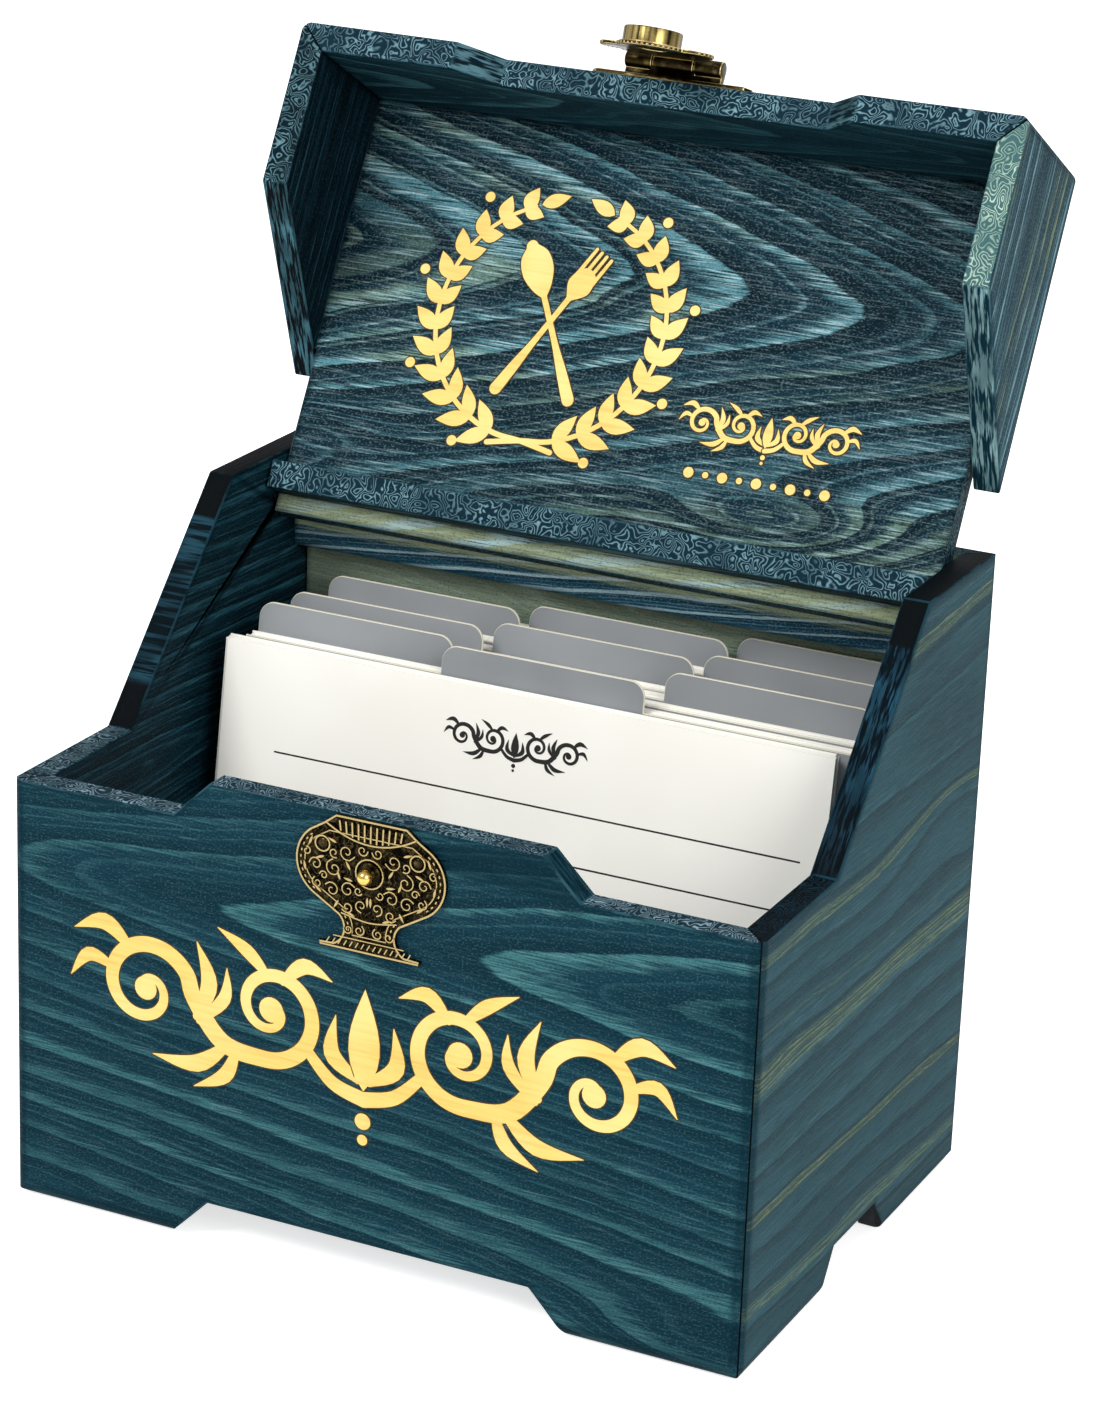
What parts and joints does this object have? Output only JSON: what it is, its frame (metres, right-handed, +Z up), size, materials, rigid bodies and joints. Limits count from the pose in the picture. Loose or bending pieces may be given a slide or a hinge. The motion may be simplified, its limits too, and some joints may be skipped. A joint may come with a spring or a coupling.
{
  "type": "recipe card box",
  "caption": "Wooden recipe card box with a pivoting chest lid, a brass hasp and stud, cut-out feet, and index cards behind tabbed dividers.",
  "frame": {"origin": "on the surface that the box stands on, under the middle of the whole object with its lid open", "axes": "+X to the right, +Y to the back of the box, +Z up; the front with its hasp stud faces -Y"},
  "size_m": [0.18, 0.1662, 0.2594],
  "materials": {
    "stained_wood": "teal stained and brushed pine, satin",
    "slate_wood": "blue-grey stained pine with olive streaks, satin",
    "antique_brass": "antique brass, dark with rubbed edges",
    "bright_brass": "polished brass",
    "steel_pin": "plain steel",
    "card_stock": "uncoated off-white card",
    "divider_board": "grey laminated card"
  },
  "bodies": {
    "box": {"front_panel": "stained_wood", "left_side_panel": "stained_wood", "right_side_panel": "slate_wood", "back_panel": "stained_wood", "floor_panel": "stained_wood", "back_rail": "stained_wood", "left_hinge_pin": "steel_pin", "right_hinge_pin": "steel_pin", "catch_plate": "antique_brass", "catch_plate_tacks": "bright_brass", "catch_stud": "bright_brass", "front_card": "card_stock", "divider_1": "divider_board", "divider_2": "divider_board", "divider_3": "divider_board", "divider_4": "divider_board", "divider_5": "divider_board", "divider_6": "divider_board", "divider_7": "divider_board", "divider_8": "divider_board", "divider_9": "divider_board", "card_pack_1": "card_stock", "card_pack_2": "card_stock", "card_pack_3": "card_stock", "card_pack_4": "card_stock", "card_pack_5": "card_stock", "card_pack_6": "card_stock", "card_pack_7": "card_stock", "card_pack_8": "card_stock", "card_pack_9": "card_stock"},
    "lid": {"lid_top_panel": "stained_wood", "lid_front_apron": "stained_wood", "lid_left_cheek": "stained_wood", "lid_right_cheek": "slate_wood", "lid_rear_rail": "stained_wood", "hasp_base_plate": "antique_brass", "hasp_plate_tacks": "bright_brass", "hasp_hinge_pin": "antique_brass"},
    "hasp": {"hasp_flap": "antique_brass", "hasp_boss": "antique_brass"}
  },
  "joints": [
    {"name": "lid_hinge", "type": "hinge", "parent": "box", "child": "lid", "pos_m": [0, 0.02875, 0.1379], "axis": [1, 0, 0], "range_deg": [0, 119]},
    {"name": "hasp_hinge", "type": "hinge", "parent": "lid", "child": "hasp", "pos_m": [0, 0.06044, 0.24747], "axis": [-1, 0, 0], "range_deg": [0, 150]}
  ]
}
